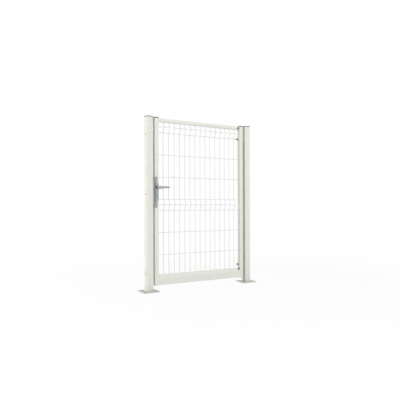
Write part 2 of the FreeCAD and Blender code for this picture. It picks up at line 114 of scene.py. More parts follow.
@dataclass(frozen=True)
class Finish:
    """A finish with soft patches of a second shade and a fine grain of its own size."""

    name: str
    slot: str
    colour: str
    shade: str
    patch_mm: float
    grain_mm: float
    relief_mm: float
    rough: tuple[float, float]
    metallic: float = 0.0
    ior: float = 1.5
    patch_detail: float = 3.0
    grain_detail: float = 2.0

    def grain(self, tree: bpy.types.NodeTree, place: bpy.types.NodeSocket) -> bpy.types.NodeSocket:
        """Draws the grain.

        Args:
            tree: The material's nodes.
            place: Object coordinates in metres.

        Returns:
            A socket from 0 to 1.
        """
        settings = {"Scale": 1000 / self.grain_mm, "Detail": self.grain_detail}
        return add(tree, "TexNoise", settings, {"Vector": place}).outputs[0]

    def paint(self, tree: bpy.types.NodeTree, colour: bpy.types.NodeSocket) -> bpy.types.NodeSocket:
        """Gives the final colour, here the patches as they are."""
        return colour

    def build(self) -> bpy.types.Material:
        """Makes the material.

        Returns:
            The material.
        """
        material = bpy.data.materials.new(self.name)
        material.use_nodes = True
        tree = material.node_tree
        tree.nodes.clear()
        place = add(tree, "TexCoord").outputs["Object"]
        patches = add(tree, "TexNoise", {"Scale": 1000 / self.patch_mm, "Detail": self.patch_detail},
                      {"Vector": place})
        grain = self.grain(tree, place)
        colour = add(tree, "MixRGB", {"Color1": linear(self.colour), "Color2": linear(self.shade)},
                     {"Fac": patches.outputs[0]})
        rough = add(tree, "MapRange", {"To Min": self.rough[0], "To Max": self.rough[1]}, {"Value": grain})
        bump = add(tree, "Bump", {"Strength": 1.0, "Distance": mm(self.relief_mm)}, {"Height": grain})
        shader = add(tree, "BsdfPrincipled", {"Metallic": self.metallic, "IOR": self.ior},
                     {"Base Color": self.paint(tree, colour.outputs[0]), "Roughness": rough.outputs[0],
                      "Normal": bump.outputs[0]})
        add(tree, "OutputMaterial", None, {"Surface": shader.outputs[0]})
        return material


@dataclass(frozen=True)
class SpangledWithLitSides(Finish):
    """Hot-dip zinc on a level plate: crystals of slightly different gloss, and upright faces painted paler as
    painted light.
    """

    edge: str = "#ffffff"

    def paint(self, tree: bpy.types.NodeTree, colour: bpy.types.NodeSocket) -> bpy.types.NodeSocket:
        """Paints the upright faces paler than the level ones, by the facing of each: painted light on the plate's
        sides.

        Args:
            tree: The material's nodes.
            colour: The colour of the level faces.

        Returns:
            The colour of both.
        """
        # Level faces keep the plate's own colour and upright ones take the paler one: painted light on the sides.
        normal = add(tree, "TexCoord").outputs["Normal"]
        axes = add(tree, "SeparateXYZ", None, {0: normal})
        level = add(tree, "Math", {"operation": "ABSOLUTE"}, {0: axes.outputs["Z"]})
        mix = add(tree, "MixRGB", {"Color1": linear(self.edge)}, {"Fac": level.outputs[0], "Color2": colour})
        return mix.outputs[0]

    def grain(self, tree: bpy.types.NodeTree, place: bpy.types.NodeSocket) -> bpy.types.NodeSocket:
        """Draws the zinc crystals, one value for each."""
        cells = add(tree, "TexVoronoi", {"Scale": 1000 / self.grain_mm}, {"Vector": place})
        return add(tree, "RGBToBW", None, {"Color": cells.outputs["Color"]}).outputs[0]


@dataclass(frozen=True)
class Brushed(Finish):
    """Metal brushed up and down, with fine streaks along Z."""

    grain_detail: float = 3.0
    streak: float = 40.0

    def grain(self, tree: bpy.types.NodeTree, place: bpy.types.NodeSocket) -> bpy.types.NodeSocket:
        """Draws streaks that are many times as long as they are wide."""
        long = add(tree, "Mapping", {"Scale": (1, 1, 1 / self.streak)}, {"Vector": place})
        return super().grain(tree, long.outputs[0])


# Polyester powder coat on steel: off-white and satin, with a faint orange peel. The real peel is
# about 2 mm wide, and is drawn at 5 mm so that it shows.
PAINT = Finish("powder_coat_white", "white_paint", "#e6e7df", "#e1e2d9", 160, 5, 0.03, (0.36, 0.46))
# The same coat on wire, thinner and cooler, so that the zinc shows through a little.
WIRE_PAINT = Finish("powder_coat_on_wire", "white_paint", "#dddee0", "#d6d7da", 60, 3, 0.03, (0.36, 0.48))
# Moulded polyethylene of the caps: dark grey and matt, from a spark-eroded mould.
PLASTIC = Finish("moulded_polyethylene_grey", "dark_plastic", "#5e5f63", "#525356", 30, 1.2, 0.06, (0.5, 0.62))
# The same in off-white, under the stiles.
PALE_PLASTIC = Finish("moulded_polyethylene_white", "white_plastic", "#d9dad3", "#d2d3cb", 30, 1.2, 0.05, (0.5, 0.6))
# Black glass-filled nylon of the collars and roses that the levers turn in: smoother than the caps.
# Its black is partly painted shade round the levers' necks.
DARK_PLASTIC_AND_NECK_SHADE = Finish("moulded_nylon_black_and_neck_shade", "dark_plastic", "#3d3e40", "#363738", 15, 1.0, 0.03, (0.42, 0.52))
# Hot-dip galvanised plate: neutral grey with crystals of about 9 mm, and upright edges painted paler as painted
# light.
ZINC_PLATE_PAINTED_LIT_SIDES = SpangledWithLitSides("galvanised_plate_painted_lit_sides", "base_steel", "#bebeb9", "#b0b0ab", 60, 9, 0.02, (0.42, 0.58),
                      0.9, edge="#dcdcd8")
# Die-cast aluminium with a grey baked finish: smooth, slightly speckled.
CASTING = Finish("baked_grey_casting", "lock_grey", "#adafb2", "#a3a5a8", 25, 1.5, 0.03, (0.34, 0.46))
# Stainless plate of the lock, its forend and its keep, brushed along its length.
STAINLESS = Brushed("brushed_stainless_plate", "lock_grey", "#b4b6b8", "#a7aaac", 40, 0.8, 0.01, (0.3, 0.42), 1.0)
# Lever of cast aluminium, bead-blasted and clear anodised.
ANODISED = Finish("anodised_casting", "lever_metal", "#b3b5b6", "#a8aaab", 20, 1.0, 0.02, (0.3, 0.42), 0.7)
# Nickel-plated brass of the key cylinder, and the small screws, which are as bright.
NICKEL = Brushed("nickel_plated_brass", "lever_metal", "#abaeaf", "#9ea1a2", 30, 0.7, 0.01, (0.25, 0.4), 1.0)
# Blackened steel of studs, nuts and plugs: brown-grey, slightly oily. On the keyways it is painted shade.
BLACKENED_AND_KEYWAY_SHADE = Finish("blackened_steel_and_keyway_shade", "fastener_black", "#80796d", "#6f695f", 12, 1.5, 0.04, (0.35, 0.55), 0.7)
# Yellow-passivated zinc of the threaded inserts.
PASSIVATED = Finish("passivated_zinc", "base_steel", "#b3a27c", "#a08f6c", 10, 1.5, 0.03, (0.35, 0.5), 0.8)


@dataclass
class Paintbox:
    """The finishes in use, each made once."""

    made: dict[str, bpy.types.Material] = field(default_factory=dict)

    def get(self, finish: Finish) -> bpy.types.Material:
        """Gives a finish's material, made at its first use.

        Args:
            finish: The finish.

        Returns:
            Its material.
        """
        if finish.name not in self.made:
            self.made[finish.name] = finish.build()
        return self.made[finish.name]

    def dress(self, finish: Finish, *nodes: str) -> None:
        """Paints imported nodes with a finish.

        Args:
            finish: The finish.
            nodes: The nodes' names.
        """
        for node in nodes:
            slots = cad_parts[node].data.materials
            slots.clear()
            slots.append(self.get(finish))
            LOG.info("node %s: %s", node, finish.name)


PAINTS = Paintbox()


def deliver(bm: bmesh.types.BMesh, name: str, finish: Finish, body: Body, stands_for: tuple[str, ...] = (),
            smooth_deg: float = 40) -> None:
    """Turns a finished bmesh into a piece that rides on its body.

    Args:
        bm: The shape, which is freed.
        name: The piece's name.
        finish: Its finish.
        body: The body that it rides on.
        stands_for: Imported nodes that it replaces.
        smooth_deg: Edges flatter than this shade smoothly.
    """
    bmesh.ops.recalc_face_normals(bm, faces=bm.faces)
    for face in bm.faces:
        face.smooth = True
    for edge in bm.edges:
        edge.smooth = len(edge.link_faces) != 2 or edge.calc_face_angle(0) < math.radians(smooth_deg)
    mesh = bpy.data.meshes.new(name)
    bm.to_mesh(mesh)
    bm.free()
    mesh.materials.append(PAINTS.get(finish))
    piece = bpy.data.objects.new(name, mesh)
    bpy.context.scene.collection.objects.link(piece)
    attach(piece, body.value)
    if stands_for:
        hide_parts(*stands_for)
    LOG.info("piece %s on %s: %d faces, %s", name, body.value, len(mesh.polygons), finish.name)


def block(bm: bmesh.types.BMesh, low: Point, high: Point) -> Verts:
    """Adds a box between two corners.

    Args:
        bm: The mesh.
        low: Its lowest corner.
        high: Its highest corner.

    Returns:
        Its vertices.
    """
    low, high = mm(*low), mm(*high)
    verts = bmesh.ops.create_cube(bm, size=1.0)["verts"]
    bmesh.ops.scale(bm, vec=high - low, verts=verts)
    bmesh.ops.translate(bm, vec=(low + high) / 2, verts=verts)
    return verts


def rod(bm: bmesh.types.BMesh, start: Point | Vector, end: Point | Vector, radius: float, sides: int) -> Verts:
    """Adds a round or many-sided bar.

    Args:
        bm: The mesh.
        start: The middle of one end.
        end: The middle of the other end.
        radius: To its corners.
        sides: Around the bar.

    Returns:
        Its vertices.
    """
    start, end = mm(*start), mm(*end)
    turn = Z.rotation_difference(end - start).to_matrix().to_4x4()
    return bmesh.ops.create_cone(bm, cap_ends=True, segments=sides, radius1=mm(radius), radius2=mm(radius),
                                 depth=(end - start).length,
                                 matrix=Matrix.Translation((start + end) / 2) @ turn)["verts"]


def edges_of(verts: Verts) -> Edges:
    """Lists the edges whose two ends are both in a list of vertices."""
    inside = set(verts)
    return list({e for v in verts for e in v.link_edges if e.other_vert(v) in inside})


def sharp(verts: Verts) -> Edges:
    """Lists the sharp edges between some vertices, such as the rims of a rod's two ends."""
    return [e for e in edges_of(verts) if e.calc_face_angle(0) > SHARP]


def outermost(verts: Verts, out: Vector) -> bmesh.types.BMFace:
    """Finds the face that lies furthest out, of those that meet some vertices."""
    return max((f for v in verts for f in v.link_faces), key=lambda f: f.calc_center_median().dot(out))


def soften(bm: bmesh.types.BMesh, edges: Edges, radius: float, steps: int) -> Verts:
    """Rounds edges by a radius, and gives the new vertices."""
    return bmesh.ops.bevel(bm, geom=edges, offset=mm(radius), segments=steps, affect="EDGES", profile=0.5,
                           material=-1)["verts"]


def rounded_box(bm: bmesh.types.BMesh, low: Point, high: Point, out: Vector, corners: tuple[float, int],
                rim: tuple[float, int]) -> None:
    """Adds a box with rounded corners and a rounded rim on one side.

    Args:
        bm: The mesh, which is still empty.
        low: The box's lowest corner.
        high: The box's highest corner.
        out: The direction that the rim's side faces.
        corners: The radius of the edges along that direction, and how many steps round they have.
        rim: The same for the rim.
    """
    verts = block(bm, low, high)
    soften(bm, [e for e in edges_of(verts) if abs((e.verts[0].co - e.verts[1].co).dot(out)) > mm(SLACK)], *corners)
    level = max(v.co.dot(out) for v in bm.verts) - mm(SLACK)
    soften(bm, [e for e in bm.edges if all(v.co.dot(out) > level for v in e.verts)], *rim)


def carry(bm: bmesh.types.BMesh, ring: Edges, move: Matrix) -> Edges:
    """Extrudes a ring of edges and moves the new ring.

    Args:
        bm: The mesh.
        ring: The ring's edges.
        move: Where the new ring goes from there.

    Returns:
        The new ring's edges.
    """
    made = bmesh.ops.extrude_edge_only(bm, edges=ring)["geom"]
    verts = [g for g in made if isinstance(g, bmesh.types.BMVert)]
    bmesh.ops.transform(bm, matrix=move, verts=verts)
    return edges_of(verts)


def about(point: Vector, move: Matrix) -> Matrix:
    """Applies a turn or a scale about a point in metres."""
    return Matrix.Translation(point) @ move @ Matrix.Translation(-point)


def close(bm: bmesh.types.BMesh, ring: Edges) -> None:
    """Fills the end of a tube."""
    bmesh.ops.edgeloop_fill(bm, edges=ring)


def mouth(bm: bmesh.types.BMesh, radius: float, sides: int, place: Matrix) -> Edges:
    """Starts a closed tube with its end ring.

    Args:
        bm: The mesh.
        radius: Of the ring.
        sides: Around the ring.
        place: Where it lies, in metres, facing along its own Z.

    Returns:
        The ring's edges.
    """
    ring = edges_of(bmesh.ops.create_circle(bm, segments=sides, radius=mm(radius), matrix=place)["verts"])
    close(bm, ring)
    return ring


class Bender:
    """Bends a wire in the plane square to X, as a wire bender does: runs and bends in turn."""

    def __init__(self, bm: bmesh.types.BMesh, start: Point, radius: float, sides: int) -> None:
        """Starts a wire that heads up.

        Args:
            bm: The mesh that takes the wire.
            start: The middle of its lower end.
            radius: The wire's radius.
            sides: Around the wire.
        """
        self.bm, self.at, self.heading = bm, mm(*start), Z.copy()
        place = Matrix.Translation(self.at) @ Matrix.Rotation(math.pi / sides, 4, "Z")
        self.ring = mouth(bm, radius, sides, place)

    def run(self, length: float) -> None:
        """Runs straight on.

        Args:
            length: How far.
        """
        step = self.heading * mm(length)
        self.ring = carry(self.bm, self.ring, Matrix.Translation(step))
        self.at = self.at + step

    def bend(self, degrees: float, radius: float, steps: int) -> None:
        """Bends about X.

        Args:
            degrees: How far, by the right hand about +X.
            radius: Of the wire's middle line.
            steps: How many rings the bend has.
        """
        side = math.copysign(1, degrees)
        centre = self.at + side * mm(radius) * X.cross(self.heading)
        turn = Matrix.Rotation(math.radians(degrees / steps), 4, "X")
        for _ in range(steps):
            self.ring = carry(self.bm, self.ring, about(centre, turn))
            self.at = about(centre, turn) @ self.at
            self.heading = turn.to_3x3() @ self.heading


@dataclass
class Bead:
    """A rippled weld bead, two rings to each ripple."""

    radius: float = 2.2
    sides: int = 8
    tip: float = 0.55
    first_swell: float = 1.8
    ripple: float = 1.14

    def lay(self, bm: bmesh.types.BMesh, start: Point, end: Point) -> None:
        """Lays the bead.

        Args:
            bm: The mesh.
            start: The middle of its first end.
            end: The middle of its last end.
        """
        a, b = mm(*start), mm(*end)
        run = b - a
        turn = Z.rotation_difference(run).to_matrix().to_4x4()
        ring = mouth(bm, self.radius * self.tip, self.sides, Matrix.Translation(a) @ turn)
        rings = 2 * max(2, round(run.length / mm(self.radius)))
        ripples = [self.ripple if i % 2 else 1 / self.ripple for i in range(1, rings - 1)]
        for i, swell in enumerate([self.first_swell, *ripples, self.tip]):
            spot = a + run * (i / rings)
            ring = carry(bm, ring, Matrix.Translation(run / rings) @ about(spot, Matrix.Scale(swell, 4)))
        close(bm, ring)


@dataclass
class SocketScrew:
    """A screw head with a round socket in its face. Shares are of the head's radius."""

    radius: float
    proud: float
    buried: float = 0.8
    rim_share: float = 0.5
    rim_steps: int = 3
    land_share: float = 0.42
    wall_share: float = 0.06
    socket_depth: float = 1.0
    floor: float = 0.3

    def fit(self, bm: bmesh.types.BMesh, seat: Point, out: Vector) -> None:
        """Adds the head.

        Args:
            bm: The mesh.
            seat: The middle of the head, on the face that it's sunk in.
            out: The direction away from that face.
        """
        seat = Vector(seat)
        head = rod(bm, seat - out * self.buried, seat + out * self.proud, self.radius, SMALL_ROUND)
        rim = soften(bm, list(outermost(head, out).edges), min(self.proud, self.radius) * self.rim_share,
                     self.rim_steps)
        top = [outermost(rim, out)]
        bmesh.ops.inset_region(bm, faces=top, thickness=mm(self.radius * self.land_share))
        depth = min(self.socket_depth, self.proud + self.buried - self.floor)
        bmesh.ops.inset_region(bm, faces=top, thickness=mm(self.radius * self.wall_share), depth=-mm(depth))


@dataclass
class Fastener:
    """A threaded end with its nut and washer, along an axis."""

    stud_r: float = 5.0
    stud_sides: int = 16
    pitch: float = 1.5
    thread: float = 0.88
    tip: float = 0.9
    flats: float = 17.0
    nut_height: float = 8.5
    nut_round: tuple[float, int] = (0.8, 2)
    washer_r: float = 9.0
    washer_thick: float = 2.0
    washer_round: tuple[float, int] = (0.3, 1)

    def fit(self, bm: bmesh.types.BMesh, seat: Point, out: Vector, reach: float, buried: float) -> None:
        """Adds washer, nut and threaded end.

        Args:
            bm: The mesh.
            seat: The point on the face that the washer lies on.
            out: The direction away from that face.
            reach: How far the thread stands out.
            buried: How far behind the face the thread starts.
        """
        seat = Vector(seat)
        top = seat + out * self.washer_thick
        soften(bm, sharp(rod(bm, seat, top, self.washer_r, ROUND)), *self.washer_round)
        nut = rod(bm, top, top + out * self.nut_height, self.flats / math.sqrt(3), HEXAGON)
        bmesh.ops.rotate(bm, cent=mm(*top), matrix=Matrix.Rotation(math.pi / HEXAGON, 3, out), verts=nut)
        soften(bm, sharp(nut), *self.nut_round)
        foot = mm(*(seat - out * buried))
        turn = Z.rotation_difference(out).to_matrix().to_4x4()
        ring = mouth(bm, self.stud_r, self.stud_sides, Matrix.Translation(foot) @ turn)
        rings = 2 * round((reach + buried) / self.pitch)
        step = out * mm((reach + buried) / rings)
        depths = [1 / self.thread if i % 2 else self.thread for i in range(rings - 1)]
        for i, depth in enumerate([*depths, self.tip]):
            ring = carry(bm, ring, Matrix.Translation(step) @ about(foot + step * i, Matrix.Scale(depth, 4)))
        close(bm, ring)


@dataclass
class Posts:
    """The two square posts on their base plates."""

    spacing: float = 1060.0
    half: float = 30.0
    top: float = 1553.0
    plate: float = 10.0
    cap_thick: float = 6.0
    cap_overhang: float = 1.5
    cap_corners: tuple[float, int] = (3.5, 4)
    cap_rim: tuple[float, int] = (2.0, 3)
    foot_bead: Bead = field(default_factory=lambda: Bead(2.6))
    # Inserts: how far they start inside the face and stand out of it, their rim, and the dip inside it.
    insert_levels: tuple[float, ...] = (1396.0, 868.0, 165.0)
    insert_y: float = -8.0
    insert_r: float = 7.5
    insert_sides: int = 28
    insert_buried: float = 0.5
    insert_proud: float = 1.2
    insert_rim: float = 3.2
    insert_dip: float = 0.9

    def build(self) -> None:
        """Dresses the posts and adds caps, weld beads and inserts."""
        PAINTS.dress(PAINT, "latch_post", "hinge_post")
        PAINTS.dress(ZINC_PLATE_PAINTED_LIT_SIDES, "latch_post_base", "hinge_post_base")
        for name, x in (("latch_post", -self.spacing), ("hinge_post", 0.0)):
            self.cap(name, x)
            self.foot_weld(name, x)
        self.inserts()

    def cap(self, name: str, x: float) -> None:
        """Makes the moulded cap of one post.

        Args:
            name: The post's name.
            x: The post's middle.
        """
        bm = bmesh.new()
        r = self.half + self.cap_overhang
        rounded_box(bm, (x - r, -r, self.top), (x + r, r, self.top + self.cap_thick), Z, self.cap_corners,
                    self.cap_rim)
        deliver(bm, name + "_moulded_cap", PLASTIC, Body.FIXED, (name + "_cap",))

    def foot_weld(self, name: str, x: float) -> None:
        """Lays the weld bead round one post's foot.

        Args:
            name: The post's name.
            x: The post's middle.
        """
        bm = bmesh.new()
        z, r = self.plate, self.half
        corners = [(x - r, -r, z), (x + r, -r, z), (x + r, r, z), (x - r, r, z)]
        for start, end in zip(corners, corners[1:] + corners[:1]):
            self.foot_bead.lay(bm, start, end)
        deliver(bm, name + "_foot_weld", PAINT, Body.FIXED)

    def inserts(self) -> None:
        """Sets the threaded inserts for the neighbouring panel in the latch post's outer side."""
        bm = bmesh.new()
        face, y = -self.spacing - self.half, self.insert_y
        for z in self.insert_levels:
            insert = rod(bm, (face + self.insert_buried, y, z), (face - self.insert_proud, y, z), self.insert_r,
                         self.insert_sides)
            dip = outermost(insert, -X)
            bmesh.ops.inset_region(bm, faces=[dip], thickness=mm(self.insert_rim))
            bmesh.ops.translate(bm, vec=X * mm(self.insert_dip), verts=list(dip.verts))
        deliver(bm, "latch_post_inserts", PASSIVATED, Body.FIXED)


@dataclass
class LeafFrame:
    """The leaf's tube frame, with its caps, weld beads and plugs."""

    left: float = -1010.0
    right: float = -50.0
    stile: float = 40.0
    front: float = -22.0
    back: float = 18.0
    bottom: float = 56.0
    top: float = 1548.0
    rail: float = 30.0
    # The bottom rail: its upright faces, the slopes above them, and half the width of its top.
    kick: float = 60.0
    shoulder: float = 33.0
    shoulder_half: float = 9.0
    cap_thick: float = 9.5
    cap_corners: tuple[float, int] = (2.5, 4)
    cap_rim: tuple[float, int] = (1.8, 3)
    bead: Bead = field(default_factory=Bead)
    thin_bead: Bead = field(default_factory=lambda: Bead(1.6))
    corner_gap: float = 3.0
    foot_gap: float = 2.0
    plug_places: tuple[Point, ...] = ((-106.0, -22.0, 1530.5), (-100.0, -14.5, 137.0))
    plug_r: float = 12.0
    plug_sides: int = 28
    plug_buried: float = 4.0
    plug_proud: float = 3.0
    plug_dome: tuple[float, int] = (2.4, 4)

    def build(self) -> None:
        """Dresses the frame and adds its small parts."""
        PAINTS.dress(PAINT, "latch_stile", "hinge_stile", "top_rail", "bottom_rail")
        PAINTS.dress(PALE_PLASTIC, "latch_stile_foot", "hinge_stile_foot")
        self.cap("latch_stile", self.left)
        self.cap("hinge_stile", self.right - self.stile)
        self.welds()
        self.plugs()

    def cap(self, name: str, x: float) -> None:
        """Makes the moulded cap on one stile.

        Args:
            name: The stile's name.
            x: The stile's left side.
        """
        bm = bmesh.new()
        rounded_box(bm, (x, self.front, self.top), (x + self.stile, self.back, self.top + self.cap_thick), Z,
                    self.cap_corners, self.cap_rim)
        deliver(bm, name + "_moulded_cap", PLASTIC, Body.LEAF, (name + "_cap",))

    def welds(self) -> None:
        """Lays the beads where the rails meet the stiles."""
        bm = bmesh.new()
        mid, half = (self.front + self.back) / 2, self.shoulder_half
        under, knee = self.top - self.rail, self.bottom + self.kick
        shoulder = knee + self.shoulder
        for x in (self.left + self.stile, self.right - self.stile):
            self.bead.lay(bm, (x, self.front + self.corner_gap, under), (x, self.back - self.corner_gap, under))
            self.bead.lay(bm, (x, mid - half, shoulder), (x, mid + half, shoulder))
            for side, y in ((-1, self.front + SUNK), (1, self.back - SUNK)):
                self.thin_bead.lay(bm, (x, y, under), (x, y, self.top - self.corner_gap))
                self.thin_bead.lay(bm, (x, y, self.bottom + self.foot_gap), (x, y, knee))
                self.thin_bead.lay(bm, (x, y, knee), (x, mid + side * half, shoulder))
        deliver(bm, "leaf_weld_beads", PAINT, Body.LEAF)

    def plugs(self) -> None:
        """Sets the dark plugs of the rails' drain holes beside the hinge stile."""
        bm = bmesh.new()
        for x, y, z in self.plug_places:
            dome = rod(bm, (x, y + self.plug_buried, z), (x, y - self.plug_proud, z), self.plug_r, self.plug_sides)
            soften(bm, list(outermost(dome, -Y).edges), *self.plug_dome)
        deliver(bm, "rail_plugs", BLACKENED_AND_KEYWAY_SHADE, Body.LEAF)


@dataclass
class WirePanel:
    """The welded panel: folded uprights with level wires welded behind them."""

    left: float = -970.0
    right: float = -90.0
    bottom: float = 149.0
    top: float = 1518.0
    plane: float = 3.0
    pitch: float = 55.0
    count: int = 15
    wire_r: float = 2.5
    # How far crossing wires sink into each other.
    bite: float = 0.6
    # The folds: their height, how far their noses stand forward, and where they lie.
    fold: float = 100.0
    depth: float = 22.0
    lower_fold_top: float = 823.0
    upper_fold_foot: float = 1423.0
    cell: float = 200.0
    bend_r: float = 9.0
    bend_steps: int = 3
    nose_steps: int = 5
    overrun: float = 2.0
    spot_r: float = 2.7
    spot_flat: float = 0.55
    end_spot_r: float = 3.6
    smooth_deg: float = 50.0

    def build(self) -> None:
        """Makes the whole panel as one piece."""
        bm = bmesh.new()
        first = (self.left + self.right) / 2 - (self.count - 1) / 2 * self.pitch
        self.upright(bm, first)
        geometry = bm.verts[:] + bm.edges[:] + bm.faces[:]
        for i in range(1, self.count):
            copy = bmesh.ops.duplicate(bm, geom=geometry)["geom"]
            verts = [g for g in copy if isinstance(g, bmesh.types.BMVert)]
            bmesh.ops.translate(bm, vec=X * mm(i * self.pitch), verts=verts)
        columns = [first + i * self.pitch for i in range(self.count)]
        for z, y in self.levels():
            behind = y + 2 * self.wire_r - self.bite
            rod(bm, (self.left - SUNK, behind, z), (self.right + SUNK, behind, z), self.wire_r, WIRE_ROUND)
            for x in columns:
                self.spot(bm, (x, y + self.wire_r - self.bite / 2, z), self.spot_r, self.spot_flat)
            for x in (self.left, self.right):
                self.spot(bm, (x, behind, z), self.end_spot_r)
        top_y = self.plane - self.depth * (self.upper_fold_foot + self.fold - self.top) / (self.fold / 2)
        for x in columns:
            for y, z in ((self.plane, self.bottom), (top_y, self.top)):
                self.spot(bm, (x, y, z), self.end_spot_r)
        deliver(bm, "welded_wire_panel", WIRE_PAINT, Body.LEAF, ("mesh_panel",), self.smooth_deg)

    def upright(self, bm: bmesh.types.BMesh, x: float) -> None:
        """Bends one upright wire, from the bottom rail past both folds to the top rail.

        Args:
            bm: The mesh.
            x: The wire's middle.
        """
        slope = math.degrees(math.atan2(self.depth, self.fold / 2))
        leg = math.hypot(self.depth, self.fold / 2)
        foot = self.bend_r * math.tan(math.radians(slope / 2))
        nose = self.bend_r * math.tan(math.radians(slope))
        at = self.bottom - SUNK
        wire = Bender(bm, (x, self.plane, at), self.wire_r, WIRE_ROUND)
        for top in (self.lower_fold_top, self.upper_fold_foot + self.fold):
            wire.run(top - self.fold - at - foot)
            wire.bend(slope, self.bend_r, self.bend_steps)
            wire.run(leg - foot - nose)
            wire.bend(-2 * slope, self.bend_r, self.nose_steps)
            wire.run(leg - foot - nose)
            if top + foot < self.top:
                wire.bend(slope, self.bend_r, self.bend_steps)
                at = top + foot
        wire.run(self.overrun)
        close(bm, wire.ring)

    def levels(self) -> list[tuple[float, float]]:
        """Lists the places of the level wires.

        Returns:
            The level of each, and the depth there of the uprights, which it lies behind.
        """
        places = [(self.upper_fold_foot + self.fold / 2, self.plane - self.depth),
                  (self.lower_fold_top - self.fold / 2, self.plane - self.depth)]
        z = self.upper_fold_foot
        while z > self.bottom:
            places.append((z, self.plane))
            z -= self.fold if z == self.lower_fold_top else self.cell
        return places

    def spot(self, bm: bmesh.types.BMesh, at: Point, radius: float, flat: float = 1.0) -> None:
        """Adds a small weld, between two crossing wires or at a wire's end.

        Args:
            bm: The mesh.
            at: Its middle.
            radius: Its radius.
            flat: How thick it is in Y, as a share of its width.
        """
        verts = bmesh.ops.create_icosphere(bm, subdivisions=1, radius=mm(radius))["verts"]
        bmesh.ops.scale(bm, vec=(1, flat, 1), verts=verts)
        bmesh.ops.translate(bm, vec=mm(*at), verts=verts)


@dataclass
class Hinges:
    """The two lift-off hinges with their studs."""

    levels: tuple[float, float] = (1423.0, 186.0)
    stile_inner: float = -90.0
    stile_outer: float = -50.0
    stud: Fastener = field(default_factory=Fastener)
    stud_y: float = -4.5
    stud_reach: float = 31.0
    stud_gap: float = 0.5
    bush: float = 8.0
    bush_r: float = 9.2
    bush_buried: float = 0.5
    bush_round: tuple[float, int] = (0.6, 2)
    gap: float = 20.0
    half: float = 30.0
    plate_front: float = -10.5
    leaf_plate_back: float = 17.0
    post_plate_back: float = 24.0
    bead: Bead = field(default_factory=lambda: Bead(1.8))
    corner_gap: tuple[float, float] = (2.0, 3.0)

    def build(self) -> None:
        """Dresses the hinges, welds their plates and fits their studs."""
        for place, z in zip(("upper", "lower"), self.levels):
            PAINTS.dress(PAINT, f"{place}_hinge_post_leaf", f"{place}_hinge_stile_leaf")
            bm = bmesh.new()
            seat = (self.stile_inner - self.bush, self.stud_y, z)
            self.stud.fit(bm, seat, -X, self.stud_reach - self.bush, self.stile_outer - seat[0] - self.stud_gap)
            deliver(bm, f"{place}_threaded_stud", BLACKENED_AND_KEYWAY_SHADE, Body.LEAF, (f"{place}_hinge_stud",))
            self.boss(place, seat)
            self.welds(f"{place}_leaf_plate_weld", z, self.stile_outer + SUNK, self.leaf_plate_back, Body.LEAF)
            self.welds(f"{place}_post_plate_weld", z, self.stile_outer + self.gap - SUNK, self.post_plate_back,
                       Body.FIXED)

    def boss(self, place: str, seat: Point) -> None:
        """Sets the painted bush between the stile and one stud's nut.

        Args:
            place: Upper or lower.
            seat: The middle of its outer end.
        """
        bm = bmesh.new()
        bush = rod(bm, (self.stile_inner + self.bush_buried, *seat[1:]), seat, self.bush_r, ROUND)
        soften(bm, list(outermost(bush, -X).edges), *self.bush_round)
        deliver(bm, f"{place}_stud_bush", PAINT, Body.LEAF)

    def welds(self, name: str, z: float, x: float, back: float, body: Body) -> None:
        """Lays beads above and below one plate, and along its front edge.

        Args:
            name: The beads' name.
            z: The hinge's level.
            x: Where they lie, sunk into the plate.
            back: Where the plate's level edges end in Y.
            body: The body that carries the plate.
        """
        bm = bmesh.new()
        along, up = self.corner_gap
        for level in (z - self.half, z + self.half):
            self.bead.lay(bm, (x, self.plate_front + along, level), (x, back, level))
        self.bead.lay(bm, (x, self.plate_front, z - self.half + up), (x, self.plate_front, z + self.half - up))
        deliver(bm, name, PAINT, body)


@dataclass
class SweptLever:
    """A lever with a round neck, an elbow and a flat tapered grip with a domed end."""

    neck_r: float = 8.6
    sides: int = 24
    reach: float = 28.2
    elbow_r: float = 14.0
    elbow_steps: int = 6
    taller: float = 1.035
    thinner: float = 0.93
    # Steps along the grip: the length of each, and the shares of height and depth that it keeps.
    grip: tuple[Point, ...] = ((12, 1.0, 0.97), (26, 0.93, 0.97), (26, 0.93, 0.97), (21, 0.93, 0.97),
                               (6, 0.93, 0.97), (3.5, 0.9, 0.9), (2, 0.82, 0.82), (1.2, 0.6, 0.6))

    def sweep(self, bm: bmesh.types.BMesh, foot: Point, out: int) -> None:
        """Adds the lever, with its grip towards +X.

        Args:
            bm: The mesh.
            foot: The middle of the neck's start.
            out: 1 where the neck stands out towards +Y, -1 towards -Y.
        """
        at, neck = mm(*foot), Y * out * mm(self.reach - self.elbow_r)
        facing = Z.rotation_difference(Y * out).to_matrix().to_4x4()
        ring = mouth(bm, self.neck_r, self.sides, Matrix.Translation(at) @ facing)
        ring = carry(bm, ring, Matrix.Translation(neck))
        at = at + neck
        centre = at + X * mm(self.elbow_r)
        turn = about(centre, Matrix.Rotation(-out * math.radians(90 / self.elbow_steps), 4, "Z"))
        for _ in range(self.elbow_steps):
            at = turn @ at
            taller = Matrix.Scale(self.taller, 4, Z)
            thinner = Matrix.Scale(self.thinner, 4, (at - centre).normalized())
            ring = carry(bm, ring, about(at, taller @ thinner) @ turn)
        for length, height, depth in self.grip:
            step = X * mm(length)
            at = at + step
            shape = Matrix.Scale(height, 4, Z) @ Matrix.Scale(depth, 4, Y)
            ring = carry(bm, ring, about(at, shape) @ Matrix.Translation(step))
        close(bm, ring)


